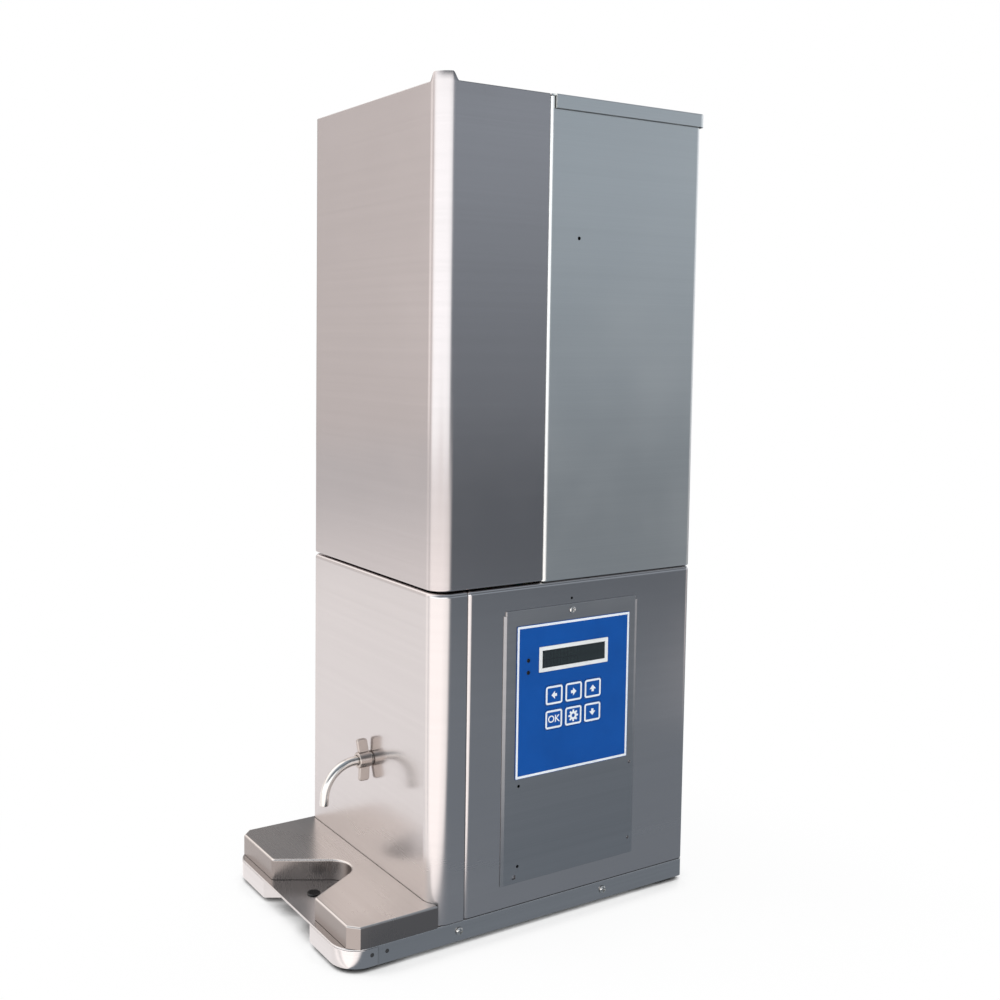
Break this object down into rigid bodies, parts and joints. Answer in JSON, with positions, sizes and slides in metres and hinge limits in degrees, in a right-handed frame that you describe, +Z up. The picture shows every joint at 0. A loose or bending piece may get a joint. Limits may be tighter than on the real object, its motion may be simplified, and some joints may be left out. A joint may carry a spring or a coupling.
{
  "type": "sauce dispenser",
  "caption": "Countertop stainless sauce dispenser with a pumped bent spout, wing nut, notched drip platform, keypad panel, lift-off hood and lid over an inner tank",
  "frame": {"origin": "on the counter, at the centre of the bounding box's bottom face", "axes": "+Z up; -Y is the front, where the spout is; +X is the side with the keypad"},
  "size_m": [0.2168, 0.3446, 0.6828],
  "materials": {
    "steel": "brushed stainless sheet",
    "bright": "fine-turned stainless",
    "zinc": "zinc-plated steel",
    "dark": "black moulded plastic",
    "rubber": "black rubber",
    "blue": "matt printed polyester film",
    "white": "white plastic",
    "milky": "natural polyethylene",
    "smoke": "dark display window",
    "clear": "clear polycarbonate",
    "silicone": "translucent silicone hose",
    "green": "green circuit board"
  },
  "bodies": {
    "body": {"base_pan": "steel", "base_front_band": "steel", "sensor_window": "dark", "foot_front_left": "rubber", "foot_front_right": "rubber", "foot_rear_left": "rubber", "foot_rear_right": "rubber", "base_screw_front_left": "bright", "base_screw_front_right": "bright", "base_screw_rear_left": "bright", "base_screw_rear_right": "bright", "lower_front_panel": "steel", "lower_casing": "steel", "deck": "steel", "deck_coupling": "dark", "hood_rest_left": "rubber", "hood_rest_right": "rubber", "rear_housing": "steel", "pump_hose": "silicone", "spout_sleeve": "bright", "spout_seal": "rubber", "pump_housing": "dark", "pump_cover": "clear", "pump_bracket": "zinc", "gearbox": "zinc", "gear_motor": "zinc", "power_supply": "zinc", "power_inlet": "dark", "control_plate": "steel", "keypad_film": "blue", "display_frame": "white", "display_window": "smoke", "display_module": "smoke", "status_led_1": "dark", "status_led_2": "dark", "control_board": "green", "plate_screw": "bright"},
    "tank": {"sauce_tank": "milky", "tank_outlet": "steel"},
    "hood": {"front_hood": "steel"},
    "lid": {"rear_lid": "steel"},
    "platform": {"drip_platform": "steel"},
    "nut": {"wing_nut": "bright"},
    "spout": {"spout_tube": "bright"},
    "rotor": {"pump_rotor": "bright", "motor_shaft": "bright"},
    "roller_1": {"pump_roller_1": "white"},
    "roller_2": {"pump_roller_2": "white"},
    "roller_3": {"pump_roller_3": "white"},
    "switch": {"power_switch": "dark"},
    "key_ok": {"key_ok": "blue"},
    "key_settings": {"key_settings": "blue"},
    "key_down": {"key_down": "blue"},
    "key_left": {"key_left": "blue"},
    "key_right": {"key_right": "blue"},
    "key_up": {"key_up": "blue"}
  },
  "joints": [
    {"name": "tank_lift", "type": "slide", "parent": "body", "child": "tank", "axis": [0, 0, 1], "range_m": [0, 0.4]},
    {"name": "hood_lift", "type": "slide", "parent": "tank", "child": "hood", "axis": [0, 0, 1], "range_m": [0, 0.4]},
    {"name": "lid_lift", "type": "slide", "parent": "tank", "child": "lid", "axis": [0, 0, 1], "range_m": [0, 0.1]},
    {"name": "platform_lift", "type": "slide", "parent": "body", "child": "platform", "axis": [0, -0.866, 0.5], "range_m": [0, 0.11]},
    {"name": "nut_turn", "type": "hinge", "parent": "body", "child": "nut", "pos_m": [0.003, -0.09425, 0.126], "axis": [0, -1, 0], "range_deg": [0, 1080]},
    {"name": "spout_swivel", "type": "hinge", "parent": "body", "child": "spout", "pos_m": [0.003, -0.09425, 0.126], "axis": [0, -1, 0], "continuous": true},
    {"name": "rotor_turn", "type": "hinge", "parent": "body", "child": "rotor", "pos_m": [0.003, 0.00575, 0.16], "axis": [-1, 0, 0], "continuous": true},
    {"name": "roller_1_turn", "type": "hinge", "parent": "rotor", "child": "roller_1", "pos_m": [0.003, 0.00575, 0.1778], "axis": [-1, 0, 0], "continuous": true},
    {"name": "roller_2_turn", "type": "hinge", "parent": "rotor", "child": "roller_2", "pos_m": [0.003, -0.00967, 0.1511], "axis": [-1, 0, 0], "continuous": true},
    {"name": "roller_3_turn", "type": "hinge", "parent": "rotor", "child": "roller_3", "pos_m": [0.003, 0.02117, 0.1511], "axis": [-1, 0, 0], "continuous": true},
    {"name": "key_ok_press", "type": "slide", "parent": "body", "child": "key_ok", "axis": [-1, 0, 0], "range_m": [0, 0.0003], "stiffness_N_per_m": 6000},
    {"name": "key_settings_press", "type": "slide", "parent": "body", "child": "key_settings", "axis": [-1, 0, 0], "range_m": [0, 0.0003], "stiffness_N_per_m": 6000},
    {"name": "key_down_press", "type": "slide", "parent": "body", "child": "key_down", "axis": [-1, 0, 0], "range_m": [0, 0.0003], "stiffness_N_per_m": 6000},
    {"name": "key_left_press", "type": "slide", "parent": "body", "child": "key_left", "axis": [-1, 0, 0], "range_m": [0, 0.0003], "stiffness_N_per_m": 6000},
    {"name": "key_right_press", "type": "slide", "parent": "body", "child": "key_right", "axis": [-1, 0, 0], "range_m": [0, 0.0003], "stiffness_N_per_m": 6000},
    {"name": "key_up_press", "type": "slide", "parent": "body", "child": "key_up", "axis": [-1, 0, 0], "range_m": [0, 0.0003], "stiffness_N_per_m": 6000},
    {"name": "switch_rock", "type": "hinge", "parent": "body", "child": "switch", "pos_m": [0.062, 0.16435, 0.073], "axis": [1, 0, 0], "range_deg": [0, 18]}
  ],
  "couplings": [
    {"joint": "roller_1_turn", "follows": "rotor_turn", "ratio": -3},
    {"joint": "roller_2_turn", "follows": "rotor_turn", "ratio": -3},
    {"joint": "roller_3_turn", "follows": "rotor_turn", "ratio": -3}
  ]
}
